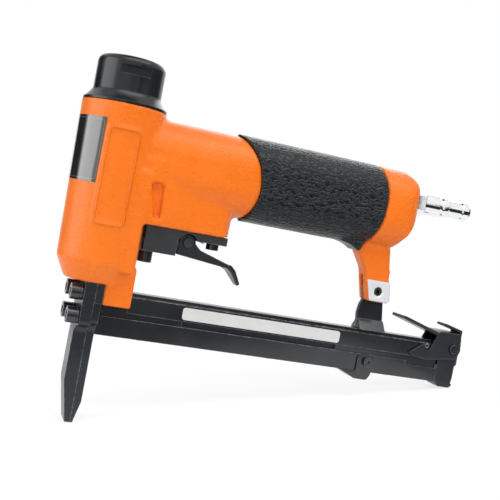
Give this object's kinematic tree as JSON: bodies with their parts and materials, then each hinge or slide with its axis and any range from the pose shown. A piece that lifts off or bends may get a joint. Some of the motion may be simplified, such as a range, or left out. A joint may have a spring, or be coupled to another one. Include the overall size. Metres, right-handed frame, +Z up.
{
  "type": "pneumatic upholstery stapler",
  "caption": "Long-nose pneumatic upholstery stapler: orange cast body, black cap and rubber grip, trigger, bottom-loading sliding magazine with latch, chrome air plug.",
  "frame": {"origin": "middle of the drive channel's exit at the tip of the nose", "axes": "+Z up along the drive axis, +X toward the rear of the handle and magazine, +Y to the tool's left side, across its plane of symmetry"},
  "size_m": [0.2464, 0.0454, 0.1916],
  "materials": {
    "orange_paint": "gloss hammered paint over a casting",
    "gloss_black": "gloss black coating",
    "black_steel": "satin black coating",
    "dark_steel": "dark phosphate finish",
    "bright_steel": "bright ground steel",
    "chrome_plate": "mirror bright plating",
    "alloy": "machined and anodised",
    "brass": "machined",
    "grip_rubber": "moulded leather grain",
    "seal_rubber": "smooth",
    "valve_plastic": "moulded",
    "label_white": "plain printed film",
    "label_grey": "plain printed film"
  },
  "bodies": {
    "frame": {"body_casting": "orange_paint", "head_cap": "gloss_black", "cap_seal": "seal_rubber", "cylinder_liner": "alloy", "liner_seal": "seal_rubber", "bumper": "seal_rubber", "head_valve_spring": "bright_steel", "nose_front_plate": "dark_steel", "nose_rear_plate": "dark_steel", "nose_screws": "black_steel", "nose_washers": "black_steel", "trigger_bracket": "black_steel", "bracket_screw": "black_steel", "trigger_pin": "black_steel", "trigger_clip": "bright_steel", "trigger_spring": "bright_steel", "valve_bushing": "brass", "valve_seals": "seal_rubber", "valve_spring": "bright_steel", "grip_sleeve": "grip_rubber", "rear_cover": "alloy", "rear_cover_screw": "black_steel", "air_plug": "chrome_plate", "fixed_channel": "black_steel", "magazine_label": "label_white", "body_label": "label_grey", "guide_rod": "bright_steel", "pusher_spring": "bright_steel", "spring_seat": "dark_steel", "catch_pin": "bright_steel", "rear_bracket": "black_steel", "leg_bolt": "black_steel"},
    "driver": {"piston": "alloy", "piston_seal": "seal_rubber", "driver_blade": "bright_steel", "driver_pin": "bright_steel"},
    "head_valve": {"head_valve": "valve_plastic", "head_valve_seal": "seal_rubber"},
    "trigger": {"trigger": "dark_steel"},
    "valve_stem": {"valve_stem": "black_steel"},
    "pusher": {"pusher": "bright_steel"},
    "magazine": {"sliding_channel": "black_steel", "staple_core": "dark_steel", "core_rivets": "bright_steel", "end_cap": "dark_steel", "latch_pin": "black_steel", "latch_spring": "bright_steel", "pull_clip": "black_steel", "clip_screw": "black_steel"},
    "latch": {"latch_lever": "dark_steel"}
  },
  "joints": [
    {"name": "trigger_pivot", "type": "hinge", "parent": "frame", "child": "trigger", "pos_m": [0.0448, 0, 0.103], "axis": [0, -1, 0], "range_deg": [0, 18], "stiffness_Nm_per_rad": 0.1, "springref_deg": -14.32, "deforming": ["trigger_spring"]},
    {"name": "stem_slide", "type": "slide", "parent": "frame", "child": "valve_stem", "axis": [0, 0, 1], "range_m": [0, 0.0022], "deforming": ["valve_spring"]},
    {"name": "driver_slide", "type": "slide", "parent": "frame", "child": "driver", "axis": [0, 0, -1], "range_m": [0, 0.066]},
    {"name": "head_valve_slide", "type": "slide", "parent": "frame", "child": "head_valve", "axis": [0, 0, 1], "range_m": [0, 0.003], "stiffness_N_per_m": 1500, "springref_m": -0.004, "deforming": ["head_valve_spring"]},
    {"name": "pusher_slide", "type": "slide", "parent": "frame", "child": "pusher", "axis": [1, 0, 0], "range_m": [0, 0.13], "stiffness_N_per_m": 25, "springref_m": -0.1, "deforming": ["pusher_spring"]},
    {"name": "magazine_slide", "type": "slide", "parent": "frame", "child": "magazine", "axis": [1, 0, 0], "range_m": [0, 0.105]},
    {"name": "latch_pivot", "type": "hinge", "parent": "magazine", "child": "latch", "pos_m": [0.2178, 0, 0.0684], "axis": [0, -1, 0], "range_deg": [0, 10], "stiffness_Nm_per_rad": 0.15, "springref_deg": -17.19, "deforming": ["latch_spring"]}
  ],
  "couplings": [
    {"joint": "stem_slide", "follows": "trigger_pivot", "m_per_rad": 0.007}
  ]
}
